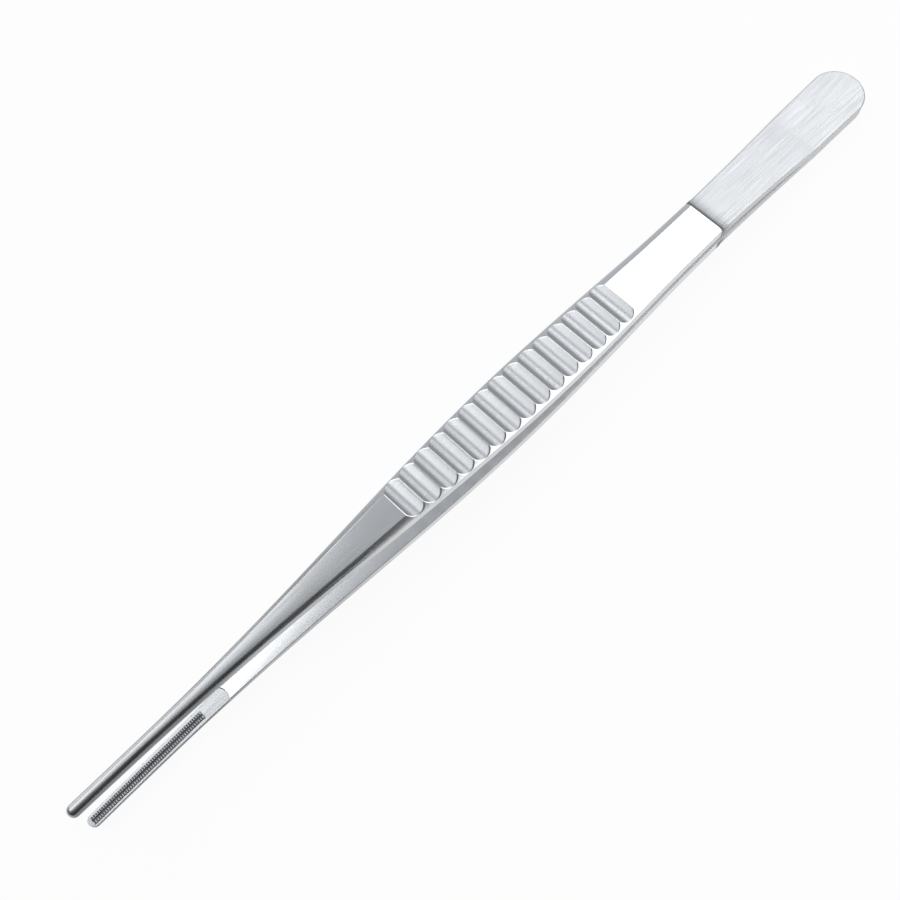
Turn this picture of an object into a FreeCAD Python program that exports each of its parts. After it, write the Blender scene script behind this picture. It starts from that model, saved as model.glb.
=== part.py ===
import FreeCAD, Part
import Sketcher
import math
import os

# Long tissue forceps of the fine-toothed vascular kind, in millimetres. Two arms, each stamped and ground from
# one strip, are welded face to face at the tail and stand apart at the jaws. Each arm is drawn with its inner
# face down: X runs from the tail end to the nose of the jaw, Y across, and Z is the height over the weld plane.
# The lower arm is the same strip turned over, and the pair then lies on the table as it comes to rest, on the
# lower arm's outer face.

os.makedirs("parts", exist_ok=True)
doc = FreeCAD.newDocument("thumb_forceps")
sheet = doc.addObject("Spreadsheet::Sheet", "Sizes")

SIZES = {
    # Along the arm, from the tail end.
    "Length": 240.0,
    "WeldLength": 22.9,
    "StepStation": 57.4,
    "GripFrontStation": 156.0,
    "JawLength": 35.7,
    # Scallops across the grip.
    "ScallopCount": 15,
    "ScallopPitch": 4.59,
    "ScallopRadius": 3.86,
    "ScallopDepth": 0.75,
    # Cove at the foot of the step.
    "CoveWidth": 1.5,
    "CoveClearance": 0.02,
    # Half the width of the strip.
    "TailHalfWidth": 6.65,
    "WeldHalfWidth": 6.5,
    "PadHalfWidth": 5.7,
    "ShankHalfWidth": 5.31,
    "WaistHalfWidth": 5.44,
    "GripBackHalfWidth": 5.88,
    "GripRiseHalfWidth": 6.31,
    "GripMidHalfWidth": 6.3,
    "GripFallHalfWidth": 5.71,
    "GripFrontHalfWidth": 4.68,
    "ForeHalfWidth": 2.98,
    "JawBackHalfWidth": 1.8,
    "JawMidHalfWidth": 1.4,
    "NoseHalfWidth": 1.31,
    # Height of the inner face over the weld plane.
    "PadFaceRise": 1.0,
    "ShankFaceRise": 1.45,
    "WaistFaceRise": 1.6,
    "GripBackFaceRise": 1.7,
    "GripRiseFaceRise": 2.05,
    "GripMidFaceRise": 2.8,
    "GripFallFaceRise": 3.55,
    "GripFrontFaceRise": 4.25,
    "ForeFaceRise": 5.0,
    "JawBackFaceRise": 5.68,
    "JawMidFaceRise": 6.22,
    "NoseFaceRise": 6.76,
    # Thickness of the tail pad, and the radius that breaks its outer edges.
    "TailCrestHeight": 2.0,
    "WeldCrestHeight": 2.05,
    "PadCrestHeight": 2.15,
    "PadEndCrestHeight": 2.2,
    "PadRound": 0.5,
    # Height of the upright side wall over the inner face.
    "ShankWallHeight": 2.2,
    "WaistWallHeight": 2.3,
    "GripBackWallHeight": 2.5,
    "GripRiseWallHeight": 2.6,
    "GripMidWallHeight": 2.65,
    "GripFallWallHeight": 2.6,
    "GripFrontWallHeight": 2.5,
    "ForeWallHeight": 2.15,
    "JawBackWallHeight": 1.5,
    "JawMidWallHeight": 0.98,
    "NoseWallHeight": 0.78,
    # Height of the middle of the crest over the inner face.
    "ShankCrestHeight": 2.95,
    "WaistCrestHeight": 3.1,
    "GripBackCrestHeight": 3.45,
    "GripRiseCrestHeight": 3.65,
    "GripMidCrestHeight": 3.75,
    "GripFallCrestHeight": 3.65,
    "GripFrontCrestHeight": 3.4,
    "ForeCrestHeight": 2.9,
    "JawBackCrestHeight": 2.5,
    "JawMidCrestHeight": 2.3,
    "NoseCrestHeight": 2.12,
    # How far the crest is crowned over its edges.
    "ForeCrestCrown": 0.12,
    "JawBackCrestCrown": 0.06,
    "JawMidCrestCrown": 0.03,
    "NoseCrestCrown": 0.03,
    # Width of the bevel between side wall and crest.
    "ShankBevelWidth": 1.35,
    "WaistBevelWidth": 1.42,
    "GripBackBevelWidth": 1.6,
    "GripRiseBevelWidth": 1.87,
    "GripMidBevelWidth": 2.0,
    "GripFallBevelWidth": 1.9,
    "GripFrontBevelWidth": 1.5,
    "ForeBevelWidth": 1.0,
    "JawBackBevelWidth": 0.9,
    "JawMidBevelWidth": 0.9,
    "NoseBevelWidth": 0.95,
    # How far the bevel bulges over its chord: a little as far as the front, half-round at the jaw.
    "FlatBevelBulge": 0.07,
    "ForeBevelBulge": 0.12,
    "JawBackBevelBulge": 0.18,
    "JawMidBevelBulge": 0.3,
    "NoseBevelBulge": 0.33,
    # Ground land on the inner face of the jaw, and the toothed rows that stand on it.
    "LandDepth": 0.3,
    "LandRadius": 2.6,
    "ToothSetback": 6.2,
    "RowHeight": 0.3,
    "RowWidth": 0.55,
    "GrooveWidth": 0.42,
    "RowClearance": 0.04,
    "RowNoseMargin": 0.9,
    "ToothPitch": 0.52,
    "ToothDepth": 0.25,
    "ToothCrest": 0.08,
}

# What follows from the sizes above. The shank starts at the foot of the cove, and the sections of the grip, the
# waist and the front lie evenly between the places that they join.
DERIVED = {
    "GripLength": "ScallopCount * ScallopPitch",
    "JawBackStation": "Length - JawLength",
    "NoseStation": "Length - NoseHalfWidth",
    "TailStation": "TailHalfWidth",
    "WeldStation": "WeldLength",
    "ShankStation": "StepStation - CoveWidth",
    "PadEndStation": "ShankStation",
    "PadStation": "(WeldStation + PadEndStation) / 2",
    "GripBackStation": "GripFrontStation - GripLength",
    "GripRiseStation": "GripBackStation + GripLength / 4",
    "GripMidStation": "GripBackStation + GripLength / 2",
    "GripFallStation": "GripFrontStation - GripLength / 4",
    "WaistStation": "(StepStation + GripBackStation) / 2",
    "ForeStation": "(GripFrontStation + JawBackStation) / 2",
    "JawMidStation": "(JawBackStation + NoseStation) / 2",
    "PadEndHalfWidth": "ShankHalfWidth",
    "PadEndFaceRise": "ShankFaceRise",
    "TailFaceRise": "0",
    "WeldFaceRise": "0",
    "PadRoundBulge": "PadRound * (1 - sqrt(0.5))",
    "CoveRise": "ShankCrestHeight - PadEndCrestHeight",
    "CoveRadius": "(CoveWidth * CoveWidth + CoveRise * CoveRise) / (2 * CoveRise)",
    "ShankTop": "ShankFaceRise + ShankCrestHeight",
    "GripBackTop": "GripBackFaceRise + GripBackCrestHeight",
    "GripFrontTop": "GripFrontFaceRise + GripFrontCrestHeight",
    "ScallopSlope": "atan((GripFrontTop - GripBackTop) / GripLength)",
    "ScallopSpread": "(ScallopCount - 1) * ScallopPitch / cos(ScallopSlope)",
    "JawSlope": "atan((NoseFaceRise - JawBackFaceRise) / (NoseStation - JawBackStation))",
    "JawRun": "(Length - JawBackStation) / cos(JawSlope)",
    "RowLength": "JawRun - ToothSetback - RowNoseMargin",
    "ToothCount": "floor(RowLength / ToothPitch)",
    "RowInnerEdge": "GrooveWidth / 2",
    "RowOuterEdge": "GrooveWidth / 2 + RowWidth",
    "SeatHalfWidth": "GrooveWidth / 2 - RowClearance",
    "SeatWidth": "2 * SeatHalfWidth",
    "RestTilt": "atan((GripFrontTop - ShankTop) / (GripFrontStation - StepStation))",
    "RestLift": "ShankTop * cos(RestTilt) - StepStation * sin(RestTilt)",
    "RestShift": "-Length / 2 * cos(RestTilt)",
}

PAD_SECTIONS = ("Tail", "Weld", "Pad", "PadEnd")
FLAT_SECTIONS = ("Shank", "Waist", "GripBack", "GripRise", "GripMid", "GripFall", "GripFront")
ROUND_SECTIONS = ("Fore", "JawBack", "JawMid", "Nose")

for section in PAD_SECTIONS:
    DERIVED[section + "WallHeight"] = section + "CrestHeight - PadRound"
    DERIVED[section + "BevelWidth"] = "PadRound"
    DERIVED[section + "BevelBulge"] = "PadRoundBulge"
    DERIVED[section + "EdgeHeight"] = section + "CrestHeight"
for section in FLAT_SECTIONS:
    DERIVED[section + "BevelBulge"] = "FlatBevelBulge"
    DERIVED[section + "EdgeHeight"] = section + "CrestHeight"
for section in ROUND_SECTIONS:
    crown = section + "CrestCrown"
    half = "(" + section + "HalfWidth - " + section + "BevelWidth)"
    DERIVED[section + "CrestRadius"] = half + " * " + half + " / (2 * " + crown + ") + " + crown + " / 2"
    DERIVED[section + "EdgeHeight"] = section + "CrestHeight - " + crown
for section in PAD_SECTIONS + FLAT_SECTIONS + ROUND_SECTIONS:
    width = section + "BevelWidth"
    drop = "(" + section + "EdgeHeight - " + section + "WallHeight)"
    bulge = section + "BevelBulge"
    chord_squared = "(" + width + " * " + width + " + " + drop + " * " + drop + ")"
    DERIVED[section + "BevelRadius"] = chord_squared + " / (8 * " + bulge + ") + " + bulge + " / 2"


def fill_sheet():
    """Writes each size and each derived value into a row of its own, under its name."""
    row = 1
    for name, value in SIZES.items():
        sheet.set("A" + str(row), name)
        sheet.set("B" + str(row), str(value))
        sheet.setAlias("B" + str(row), name)
        row += 1
    for name, formula in DERIVED.items():
        sheet.set("A" + str(row), name)
        sheet.setAlias("B" + str(row), name)
        sheet.set("B" + str(row), "=" + formula)
        row += 1
    doc.recompute()


def size(name):
    """The value of a named size, in millimetres, or in degrees for an angle."""
    value = sheet.get(name)
    return float(getattr(value, "Value", value))


def bind(thing, path, formula):
    """Ties a property or a sketch constraint to sizes of the sheet."""
    words = []
    for word in formula.split(" "):
        words.append("Sizes." + word if word in SIZES or word in DERIVED else word)
    thing.setExpression(path, " ".join(words))


def plane_sketch(body, name, role):
    """A sketch on one of the body's own planes."""
    sketch = body.newObject("Sketcher::SketchObject", name)
    plane = next(f for f in body.Origin.OriginFeatures if f.Role == role)
    sketch.AttachmentSupport = [(plane, "")]
    sketch.MapMode = "FlatFace"
    return sketch


def dimension(sketch, formula, kind, *where):
    """Adds a sketch constraint whose value follows the formula. Its first value is the sheet's."""
    index = sketch.addConstraint(Sketcher.Constraint(kind, *where))
    bind(sketch, "Constraints[" + str(index) + "]", formula)


def point(x, y):
    return FreeCAD.Vector(x, y, 0)


START, END = 1, 2
ORIGIN = (-1, 1)
VERTICAL_AXIS = -2
HORIZONTAL_AXIS = -1
UPWARD = FreeCAD.Vector(0, 0, 1)
CENTRE = 3


def bevel_arc(low, high, radius):
    """An arc from the top of the side wall to the edge of the crest, bulging outwards."""
    middle = (low + high) / 2
    chord = high - low
    outward = point(chord.y, -chord.x) * math.copysign(1, chord.y * low.x)
    outward.normalize()
    bulge = radius - math.sqrt(radius * radius - chord.Length * chord.Length / 4)
    return Part.Arc(low, middle + outward * bulge, high)


def measure(section):
    """Half widths of strip and crest, then the heights of inner face, wall top, crest edge and crest middle."""
    half = size(section + "HalfWidth")
    crest_half = half - size(section + "BevelWidth")
    foot = size(section + "FaceRise")
    over_face = [foot + size(section + height) for height in ("WallHeight", "EdgeHeight", "CrestHeight")]
    return half, crest_half, foot, *over_face


def crest_line(sketch, section, first, last):
    """The crest from one point to the other, with its two ends: crowned from the fore part on, straight before."""
    if section not in ROUND_SECTIONS:
        return sketch.addGeometry(Part.LineSegment(first, last)), START, END
    radius = size(section + "CrestRadius")
    centre_height = size(section + "FaceRise") + size(section + "CrestHeight") - radius
    middle = (first.x + last.x) / 2
    height = centre_height + math.sqrt(radius * radius - middle * middle)
    crest = sketch.addGeometry(Part.Arc(first, point(middle, height), last))
    dimension(sketch, section + "CrestRadius", "Radius", crest, radius)
    return crest, *arc_ends(sketch, crest, first)


def cross_section(body, section):
    """A whole section of the strip: inner face, side walls, bevels and crest."""
    sketch = plane_sketch(body, section + "Section", "YZ_Plane")
    bind(sketch, "AttachmentOffset.Base.z", section + "Station")
    half, crest_half, foot, wall, edge, top = measure(section)
    radius = size(section + "BevelRadius")
    left_foot, right_foot = point(-half, foot), point(half, foot)
    left_wall, right_wall = point(-half, wall), point(half, wall)
    left_edge, right_edge = point(-crest_half, edge), point(crest_half, edge)
    face = sketch.addGeometry(Part.LineSegment(left_foot, right_foot))
    right_side = sketch.addGeometry(Part.LineSegment(right_foot, right_wall))
    right_bevel = sketch.addGeometry(bevel_arc(right_wall, right_edge, radius))
    crest, crest_right, crest_left = crest_line(sketch, section, right_edge, left_edge)
    left_bevel = sketch.addGeometry(bevel_arc(left_wall, left_edge, radius))
    left_side = sketch.addGeometry(Part.LineSegment(left_wall, left_foot))
    right_low, right_high = arc_ends(sketch, right_bevel, right_wall)
    left_low, left_high = arc_ends(sketch, left_bevel, left_wall)
    corners = (
        (face, END, right_side, START),
        (right_side, END, right_bevel, right_low),
        (right_bevel, right_high, crest, crest_right),
        (crest, crest_left, left_bevel, left_high),
        (left_bevel, left_low, left_side, START),
        (left_side, END, face, START),
    )
    for corner in corners:
        sketch.addConstraint(Sketcher.Constraint("Coincident", *corner))
    sketch.addConstraint(Sketcher.Constraint("Vertical", right_side))
    sketch.addConstraint(Sketcher.Constraint("Vertical", left_side))
    sketch.addConstraint(Sketcher.Constraint("Symmetric", face, START, face, END, VERTICAL_AXIS))
    sketch.addConstraint(Sketcher.Constraint("Symmetric", crest, START, crest, END, VERTICAL_AXIS))
    sketch.addConstraint(Sketcher.Constraint("Equal", left_side, right_side))
    sketch.addConstraint(Sketcher.Constraint("Equal", left_bevel, right_bevel))
    dimension(sketch, "2 * " + section + "HalfWidth", "DistanceX", face, START, face, END, 2 * half)
    dimension(sketch, section + "WallHeight", "DistanceY", right_side, START, right_side, END, wall - foot)
    dimension(sketch, section + "EdgeHeight", "DistanceY", face, END, crest, crest_right, edge - foot)
    dimension(sketch, section + "BevelWidth", "DistanceX", crest, crest_right, face, END, half - crest_half)
    dimension(sketch, section + "BevelRadius", "Radius", right_bevel, radius)
    stand_on_face_height(sketch, section, face, foot)
    return sketch


def stand_on_face_height(sketch, section, face, foot):
    """Holds the inner face at its height over the weld plane, or on that plane."""
    if foot:
        dimension(sketch, section + "FaceRise", "DistanceY", *ORIGIN, face, START, foot)
    else:
        sketch.addConstraint(Sketcher.Constraint("PointOnObject", face, START, HORIZONTAL_AXIS))


def arc_ends(sketch, arc, low):
    """Which end of an arc is at its low point, and which is the other."""
    near_start = (sketch.getPoint(arc, START) - low).Length < (sketch.getPoint(arc, END) - low).Length
    return (START, END) if near_start else (END, START)


def half_section(body, section, side):
    """Half a section in the arm's middle plane, from an upright axis to the side, which is 1 or -1 along X."""
    sketch = plane_sketch(body, section + "End", "XZ_Plane")
    bind(sketch, "AttachmentOffset.Base.x", section + "Station")
    half, crest_half, foot, wall, edge, top = measure(section)
    radius = size(section + "BevelRadius")
    axis_foot, side_foot, side_top = point(0, foot), point(side * half, foot), point(side * half, wall)
    crest_edge, axis_top = point(side * crest_half, edge), point(0, top)
    face = sketch.addGeometry(Part.LineSegment(axis_foot, side_foot))
    wall_line = sketch.addGeometry(Part.LineSegment(side_foot, side_top))
    bevel = sketch.addGeometry(bevel_arc(side_top, crest_edge, radius))
    crest, crest_out, crest_in = crest_line(sketch, section, crest_edge, axis_top)
    middle = sketch.addGeometry(Part.LineSegment(axis_top, axis_foot))
    low, high = arc_ends(sketch, bevel, side_top)
    corners = (
        (face, END, wall_line, START),
        (wall_line, END, bevel, low),
        (bevel, high, crest, crest_out),
        (crest, crest_in, middle, START),
        (middle, END, face, START),
    )
    for corner in corners:
        sketch.addConstraint(Sketcher.Constraint("Coincident", *corner))
    sketch.addConstraint(Sketcher.Constraint("Horizontal", face))
    sketch.addConstraint(Sketcher.Constraint("Vertical", wall_line))
    sketch.addConstraint(Sketcher.Constraint("PointOnObject", face, START, VERTICAL_AXIS))
    sketch.addConstraint(Sketcher.Constraint("PointOnObject", crest, crest_in, VERTICAL_AXIS))
    if section in PAD_SECTIONS:
        sketch.addConstraint(Sketcher.Constraint("Horizontal", crest))
    else:
        sketch.addConstraint(Sketcher.Constraint("PointOnObject", crest, CENTRE, VERTICAL_AXIS))
    across = (face, START, face, END) if side > 0 else (face, END, face, START)
    inset = (crest, crest_out, face, END) if side > 0 else (face, END, crest, crest_out)
    dimension(sketch, section + "HalfWidth", "DistanceX", *across, half)
    dimension(sketch, section + "WallHeight", "DistanceY", wall_line, START, wall_line, END, wall - foot)
    dimension(sketch, section + "EdgeHeight", "DistanceY", face, END, crest, crest_out, edge - foot)
    dimension(sketch, section + "BevelWidth", "DistanceX", *inset, half - crest_half)
    dimension(sketch, section + "BevelRadius", "Radius", bevel, radius)
    stand_on_face_height(sketch, section, face, foot)
    return sketch


def loft(body, name, sections):
    """Joins a run of sections. A run of two is straight, a longer one is smooth."""
    sketches = [cross_section(body, section) for section in sections]
    doc.recompute()
    feature = body.newObject("PartDesign::AdditiveLoft", name)
    feature.Profile = sketches[0]
    feature.Sections = sketches[1:]
    feature.Ruled = len(sections) == 2
    doc.recompute()


def round_end(body, name, section, side):
    """Turns half a section through half a turn, so that the strip ends in a half disc."""
    sketch = half_section(body, section, side)
    feature = body.newObject("PartDesign::Revolution", name)
    feature.Profile = sketch
    feature.ReferenceAxis = (sketch, ["V_Axis"])
    feature.Angle = 180
    feature.Midplane = True
    doc.recompute()


def cross_cut(body, name, sketch):
    """Cuts a side-view outline right through the arm, to both sides."""
    pocket = body.newObject("PartDesign::Pocket", name)
    pocket.Profile = sketch
    pocket.Type = "ThroughAll"
    pocket.Midplane = True
    doc.recompute()
    return pocket


def repeat(body, name, cut, sketch, spread, count):
    """Repeats a cut along its sketch's own horizontal axis."""
    pattern = body.newObject("PartDesign::LinearPattern", name)
    pattern.Originals = [cut]
    pattern.Direction = (sketch, ["H_Axis"])
    bind(pattern, "Length", spread)
    bind(pattern, "Occurrences", count)
    body.Tip = pattern
    doc.recompute()


def cove(body):
    """The hollow at the foot of the step, where a round wheel has run across the strip."""
    sketch = plane_sketch(body, "CoveRound", "XZ_Plane")
    foot = size("PadEndFaceRise") + size("PadEndCrestHeight") + size("CoveClearance")
    centre = point(size("ShankStation"), foot + size("CoveRadius"))
    circle = sketch.addGeometry(Part.Circle(centre, UPWARD, size("CoveRadius")))
    dimension(sketch, "CoveRadius", "Radius", circle, size("CoveRadius"))
    dimension(sketch, "ShankStation", "DistanceX", *ORIGIN, circle, CENTRE, centre.x)
    height = "PadEndFaceRise + PadEndCrestHeight + CoveClearance + CoveRadius"
    dimension(sketch, height, "DistanceY", *ORIGIN, circle, CENTRE, centre.y)
    cross_cut(body, "Cove", sketch)


def turned(sketch, axis):
    """Gives a sketch a turn about an axis of its plane's own, whose angle can then be bound."""
    sketch.AttachmentOffset = FreeCAD.Placement(FreeCAD.Vector(), FreeCAD.Rotation(axis, 1))


def scallops(body):
    """The hollows across the grip. Their row is straight, along the chord of the slightly arched crest."""
    sketch = plane_sketch(body, "ScallopRound", "XZ_Plane")
    turned(sketch, UPWARD)
    bind(sketch, "AttachmentOffset.Base.x", "GripBackStation")
    bind(sketch, "AttachmentOffset.Base.y", "GripBackTop")
    bind(sketch, "AttachmentOffset.Rotation.Angle", "ScallopSlope")
    centre = point(size("ScallopPitch") / 2, size("ScallopRadius") - size("ScallopDepth"))
    circle = sketch.addGeometry(Part.Circle(centre, UPWARD, size("ScallopRadius")))
    dimension(sketch, "ScallopRadius", "Radius", circle, size("ScallopRadius"))
    dimension(sketch, "ScallopPitch / 2", "DistanceX", *ORIGIN, circle, CENTRE, centre.x)
    dimension(sketch, "ScallopRadius - ScallopDepth", "DistanceY", *ORIGIN, circle, CENTRE, centre.y)
    cut = cross_cut(body, "Scallop", sketch)
    repeat(body, "Scallops", cut, sketch, "ScallopSpread", "ScallopCount")


def jaw_sketch(body, name, role, depth=None):
    """A sketch in line with the inner face of the jaw, with its zero where the land starts. A face-down outline
    lies on the face, or at a depth into the metal, and a side view stands on the arm's middle plane."""
    sketch = plane_sketch(body, name, role)
    lying = role == "XY_Plane"
    turned(sketch, FreeCAD.Vector(0, -1, 0) if lying else UPWARD)
    bind(sketch, "AttachmentOffset.Rotation.Angle", "JawSlope")
    bind(sketch, "AttachmentOffset.Base.x", "JawBackStation")
    height = "JawBackFaceRise"
    if depth:
        height += " + " + depth
    bind(sketch, "AttachmentOffset.Base.z" if lying else "AttachmentOffset.Base.y", height)
    return sketch


def rectangle(sketch, x0, x1, y0, y1):
    """Four lines around a rectangle, square to the sketch's axes, returned from the low side round."""
    corners = [point(x0, y0), point(x1, y0), point(x1, y1), point(x0, y1)]
    lines = []
    for index, corner in enumerate(corners):
        lines.append(sketch.addGeometry(Part.LineSegment(corner, corners[(index + 1) % 4])))
    for index, line in enumerate(lines):
        sketch.addConstraint(Sketcher.Constraint("Coincident", line, END, lines[(index + 1) % 4], START))
        sketch.addConstraint(Sketcher.Constraint("Vertical" if index % 2 else "Horizontal", line))
    return lines


def jaw_land(body):
    """The ground flat on the inner face of the jaw, which starts in an arc. The cut runs from the floor of the
    flat out past the face."""
    sketch = jaw_sketch(body, "LandOutline", "XY_Plane", "LandDepth")
    radius = size("LandRadius")
    reach = size("JawRun") + radius
    back_end, front_end = point(radius, radius), point(reach, radius)
    arc = sketch.addGeometry(Part.Arc(back_end, point(0, 0), point(radius, -radius)))
    upper = sketch.addGeometry(Part.LineSegment(back_end, front_end))
    front = sketch.addGeometry(Part.LineSegment(front_end, point(reach, -radius)))
    lower = sketch.addGeometry(Part.LineSegment(point(reach, -radius), point(radius, -radius)))
    high, low = arc_ends(sketch, arc, back_end)
    for corner in (
        (arc, high, upper, START),
        (upper, END, front, START),
        (front, END, lower, START),
        (lower, END, arc, low),
    ):
        sketch.addConstraint(Sketcher.Constraint("Coincident", *corner))
    sketch.addConstraint(Sketcher.Constraint("Horizontal", upper))
    sketch.addConstraint(Sketcher.Constraint("Horizontal", lower))
    sketch.addConstraint(Sketcher.Constraint("Vertical", front))
    sketch.addConstraint(Sketcher.Constraint("PointOnObject", arc, CENTRE, HORIZONTAL_AXIS))
    dimension(sketch, "LandRadius", "Radius", arc, radius)
    dimension(sketch, "LandRadius", "DistanceX", *ORIGIN, arc, CENTRE, radius)
    dimension(sketch, "LandRadius", "DistanceX", *ORIGIN, upper, START, radius)
    dimension(sketch, "LandRadius", "DistanceX", *ORIGIN, lower, END, radius)
    dimension(sketch, "JawRun + LandRadius", "DistanceX", *ORIGIN, upper, END, reach)
    pocket = body.newObject("PartDesign::Pocket", "Land")
    pocket.Profile = sketch
    bind(pocket, "Length", "2 * LandDepth")
    doc.recompute()


# The toothed rows of each jaw: how far the low edge lies from the middle, how wide the row is, and on which side
# of the middle its low edge lies. The lower jaw has a pair with a groove between them, the upper jaw the row that
# seats there.
ROW_PAIR = (("RowInnerEdge", "RowWidth", 1), ("RowOuterEdge", "RowWidth", -1))
SEATING_ROW = (("SeatHalfWidth", "SeatWidth", -1),)


def tooth_rows(body, rows):
    """The raised strips along the land that carry the teeth."""
    sketch = jaw_sketch(body, "RowOutline", "XY_Plane", "LandDepth")
    start = size("ToothSetback")
    end = start + size("RowLength")
    for inset, width, side in rows:
        low = side * size(inset)
        lines = rectangle(sketch, start, end, low, low + size(width))
        to_low = (*ORIGIN, lines[0], START) if side > 0 else (lines[0], START, *ORIGIN)
        dimension(sketch, inset, "DistanceY", *to_low, size(inset))
        dimension(sketch, width, "DistanceY", lines[1], START, lines[1], END, size(width))
        dimension(sketch, "ToothSetback", "DistanceX", *ORIGIN, lines[0], START, start)
        dimension(sketch, "RowLength", "DistanceX", lines[0], START, lines[0], END, end - start)
    pad = body.newObject("PartDesign::Pad", "Rows")
    pad.Profile = sketch
    pad.Reversed = True
    bind(pad, "Length", "RowHeight")
    doc.recompute()


def teeth(body):
    """The notches across the rows, which leave a fine saw of teeth."""
    sketch = jaw_sketch(body, "ToothNotch", "XZ_Plane")
    start = size("ToothSetback")
    width = size("ToothPitch") - size("ToothCrest")
    top = size("LandDepth") - size("RowHeight")
    left, right = point(start, top), point(start + width, top)
    root = point(start + width / 2, top + size("ToothDepth"))
    mouth = sketch.addGeometry(Part.LineSegment(left, right))
    fall = sketch.addGeometry(Part.LineSegment(right, root))
    rise = sketch.addGeometry(Part.LineSegment(root, left))
    for corner in ((mouth, END, fall, START), (fall, END, rise, START), (rise, END, mouth, START)):
        sketch.addConstraint(Sketcher.Constraint("Coincident", *corner))
    sketch.addConstraint(Sketcher.Constraint("Equal", fall, rise))
    sketch.addConstraint(Sketcher.Constraint("Horizontal", mouth))
    dimension(sketch, "ToothSetback", "DistanceX", *ORIGIN, mouth, START, start)
    dimension(sketch, "ToothPitch - ToothCrest", "DistanceX", mouth, START, mouth, END, width)
    dimension(sketch, "ToothDepth", "DistanceY", mouth, START, fall, END, size("ToothDepth"))
    dimension(sketch, "LandDepth - RowHeight", "DistanceY", *ORIGIN, mouth, START, top)
    cut = cross_cut(body, "Notch", sketch)
    repeat(body, "Teeth", cut, sketch, "( ToothCount - 1 ) * ToothPitch", "ToothCount")


def arm(label, rows):
    """One arm, from the rounded tail end to the rounded nose."""
    body = doc.addObject("PartDesign::Body", label)
    body.Label = label
    loft(body, "WeldBlock", ("Tail", "Weld"))
    round_end(body, "TailEnd", "Tail", -1)
    loft(body, "TailPad", ("Weld", "Pad", "PadEnd"))
    loft(body, "Strip", FLAT_SECTIONS + ROUND_SECTIONS)
    round_end(body, "NoseEnd", "Nose", 1)
    cove(body)
    scallops(body)
    jaw_land(body)
    tooth_rows(body, rows)
    teeth(body)
    return body


def lay_down(body, turned):
    """Places an arm as it lies at rest. The lower arm is turned over about its length first."""
    tilt = FreeCAD.Rotation(FreeCAD.Vector(0, -1, 0), size("RestTilt"))
    over = FreeCAD.Rotation(FreeCAD.Vector(1, 0, 0), 180 if turned else 0)
    body.Placement = FreeCAD.Placement(FreeCAD.Vector(size("RestShift"), 0, size("RestLift")), tilt * over)


fill_sheet()
upper_arm = arm("upper_arm", SEATING_ROW)
lower_arm = arm("lower_arm", ROW_PAIR)
lay_down(upper_arm, False)
lay_down(lower_arm, True)
doc.recompute()

for item in doc.Objects:
    if {"Invalid", "Error"} & set(item.State):
        raise RuntimeError(item.Name + " did not build: " + item.getStatusString())
for body in (upper_arm, lower_arm):
    if body.Shape.isNull() or not body.Shape.isValid() or len(body.Shape.Solids) != 1:
        raise RuntimeError(body.Label + " is not one sound solid")
    body.Shape.exportStep("parts/" + body.Label + ".step")
    box = body.Shape.BoundBox
    print(body.Label, round(body.Shape.Volume, 1), "mm3")
    print("spans", [round(value, 2) for value in (box.XMin, box.XMax, box.ZMin, box.ZMax)])
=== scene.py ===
# %% [markdown]
# Long tissue forceps in satin stainless steel, lying on a white table. They are two steel strips, stamped, ground
# and brushed, and welded to each other at the tail. This lesson builds each strip as one smooth mesh, gives it the
# finish that grinding leaves, and lights it, because plain steel shows little else than the light around it.
# Blender measures in metres. The sizes of the strip are in millimetres, and turned into metres at the very end.

import math

import bmesh
import bpy
import numpy as np
from mathutils import Matrix, Vector


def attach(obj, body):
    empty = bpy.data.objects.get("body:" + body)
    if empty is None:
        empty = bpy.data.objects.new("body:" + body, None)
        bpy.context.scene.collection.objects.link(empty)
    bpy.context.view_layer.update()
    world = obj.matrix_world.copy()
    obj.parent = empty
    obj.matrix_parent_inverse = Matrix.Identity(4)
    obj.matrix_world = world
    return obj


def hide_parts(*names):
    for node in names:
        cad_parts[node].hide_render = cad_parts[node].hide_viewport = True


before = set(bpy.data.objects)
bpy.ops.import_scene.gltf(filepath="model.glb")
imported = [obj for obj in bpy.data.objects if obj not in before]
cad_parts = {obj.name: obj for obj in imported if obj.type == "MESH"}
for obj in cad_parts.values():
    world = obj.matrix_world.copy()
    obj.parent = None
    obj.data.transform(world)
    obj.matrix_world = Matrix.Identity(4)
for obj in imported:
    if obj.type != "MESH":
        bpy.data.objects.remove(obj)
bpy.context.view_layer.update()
MM = 0.001
print("nodes", sorted(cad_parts))

# %% [markdown]
# A photographer looks down on the forceps from beside the jaws. A camera needs three things: where it stands, what
# it looks at, and how wide its lens is. The small roll is how far the photographer tilted the camera. They are set
# together in one matrix, whose columns are the picture's right, the picture's up, and the way back to the eye.

# %% Camera
EYE = Vector((85.4, 68.2, 254.1)) * MM
AIM = Vector((15.4, -4.6, 0.0)) * MM
ROLL = -0.0403
SENSOR_MM = 36.0
LENS_MM = 50.36
NEAREST_SEEN = 0.01


def aim_camera():
    """Places the camera at the eye, turned to the aim point, with the roll about its line of sight."""
    camera = bpy.data.objects.new("camera", bpy.data.cameras.new("camera"))
    camera.data.sensor_width = SENSOR_MM
    camera.data.lens = LENS_MM
    camera.data.clip_start = NEAREST_SEEN
    bpy.context.scene.collection.objects.link(camera)
    sight = (AIM - EYE).normalized()
    right = sight.cross(Vector((0, 0, 1))).normalized()
    up = right.cross(sight)
    rolled_right = right * math.cos(ROLL) + up * math.sin(ROLL)
    rolled_up = up * math.cos(ROLL) - right * math.sin(ROLL)
    turn = Matrix((rolled_right, rolled_up, -sight)).transposed().to_4x4()
    camera.matrix_world = Matrix.Translation(EYE) @ turn
    bpy.context.scene.camera = camera
    return camera


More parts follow.
